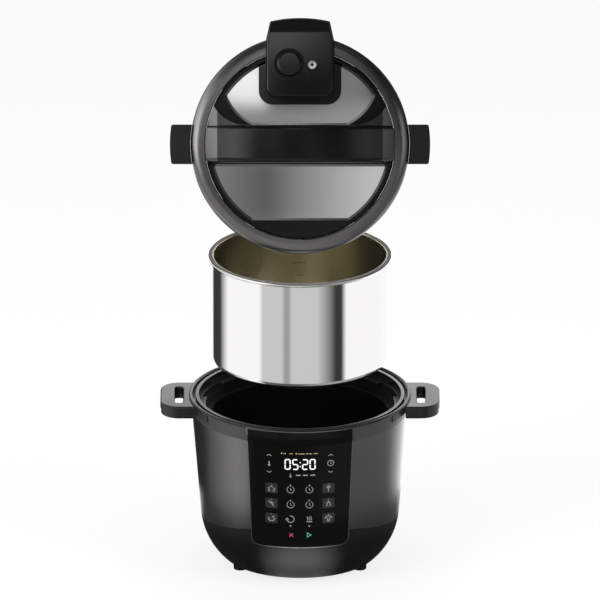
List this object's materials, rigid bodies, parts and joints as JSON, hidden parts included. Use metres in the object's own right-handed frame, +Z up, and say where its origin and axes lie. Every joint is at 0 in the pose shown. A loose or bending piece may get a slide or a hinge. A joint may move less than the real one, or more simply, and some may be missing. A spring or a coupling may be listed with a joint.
{
  "type": "electric pressure cooker",
  "caption": "Electric pressure cooker shown lifted apart: black base with a curved control panel and side handles, polished steel inner pot, and a twist-lock lid with a steam housing.",
  "frame": {"origin": "on the pot's axis, in the plane of the four feet's undersides", "axes": "+Z up along the pot's axis, -Y towards the control panel, +X to the viewer's right"},
  "size_m": [0.3356, 0.3293, 0.7225],
  "materials": {
    "black_plastic": "fine satin moulding",
    "charcoal_plastic": "satin, dark metallic grey",
    "black_steel": "black stainless, fine upright brushing",
    "panel_gloss": "high gloss",
    "trim_silver": "satin grey line",
    "pot_steel": "polished stainless",
    "plain_steel": "plain",
    "ring_black": "black coated steel",
    "heater_aluminium": "as cast",
    "brass": "plain",
    "seal_silicone": "translucent white silicone",
    "foot_rubber": "matte black",
    "board_green": "solder mask",
    "part_plastic": "moulded"
  },
  "bodies": {
    "base": {"lower_housing": "black_plastic", "rim_housing": "black_plastic", "left_handle_grip": "black_plastic", "right_handle_grip": "black_plastic", "bottom_cover": "black_plastic", "power_inlet": "black_plastic", "collar_band": "charcoal_plastic", "outer_band": "black_steel", "control_panel": "panel_gloss", "panel_header": "panel_gloss", "panel_frame": "trim_silver", "sensor_spring": "plain_steel", "sensor_bracket": "plain_steel", "heater_supports": "plain_steel", "bottom_screws": "plain_steel", "handle_screws": "plain_steel", "bayonet_ring": "ring_black", "heating_plate": "heater_aluminium", "inner_housing": "heater_aluminium", "inlet_pins": "brass", "element_terminals": "brass", "rubber_feet": "foot_rubber", "control_board": "board_green", "power_board": "board_green", "relay": "part_plastic", "pressure_switch": "part_plastic", "thermal_fuse": "part_plastic", "display_module": "part_plastic"},
    "pot": {"inner_pot": "pot_steel", "pot_base_disc": "heater_aluminium"},
    "seal": {"sealing_ring": "seal_silicone"},
    "lid": {"steel_lid": "pot_steel", "seal_rack": "plain_steel", "lid_ring": "charcoal_plastic", "left_fin": "black_plastic", "right_fin": "black_plastic", "lid_cover": "black_plastic", "lid_handle": "black_plastic", "handle_end_left": "black_plastic", "handle_end_right": "black_plastic", "steam_base": "black_plastic", "steam_housing": "black_plastic", "exhaust_pipe": "plain_steel", "exhaust_nut": "plain_steel", "anti_block_shield": "plain_steel", "lid_screws": "plain_steel", "float_guide": "plain_steel", "button_spring": "plain_steel"},
    "steam_button": {"steam_button": "black_plastic", "valve_stem": "plain_steel"},
    "pressure_weight": {"pressure_weight": "plain_steel"},
    "float_valve": {"float_valve": "plain_steel", "float_valve_cap": "seal_silicone"},
    "sensor": {"temperature_sensor": "heater_aluminium"}
  },
  "joints": [
    {"name": "pot_lift", "type": "slide", "parent": "base", "child": "pot", "axis": [0, 0, 1], "range_m": [-0.1995, 0]},
    {"name": "lid_swing", "type": "hinge", "parent": "pot", "child": "seal", "pos_m": [0, -0.183, 0.3965], "axis": [1, 0, 0], "range_deg": [-70, 0]},
    {"name": "lid_twist", "type": "hinge", "parent": "seal", "child": "lid", "pos_m": [0, -0.13075, 0.57223], "axis": [0, -0.9397, 0.342], "range_deg": [0, 22.5]},
    {"name": "steam_button_press", "type": "slide", "parent": "lid", "child": "steam_button", "axis": [0, -0.9397, 0.342], "range_m": [-0.004, 0], "stiffness_N_per_m": 600, "deforming": ["button_spring"]},
    {"name": "pressure_weight_lift", "type": "slide", "parent": "lid", "child": "pressure_weight", "axis": [0, -0.9397, 0.342], "range_m": [0, 0.003]},
    {"name": "float_valve_rise", "type": "slide", "parent": "lid", "child": "float_valve", "axis": [0, -0.9397, 0.342], "range_m": [0, 0.006]},
    {"name": "sensor_press", "type": "slide", "parent": "base", "child": "sensor", "axis": [0, 0, 1], "range_m": [-0.0025, 0], "stiffness_N_per_m": 800, "deforming": ["sensor_spring"]}
  ],
  "couplings": [
    {"joint": "pressure_weight_lift", "follows": "steam_button_press", "ratio": -0.75}
  ]
}
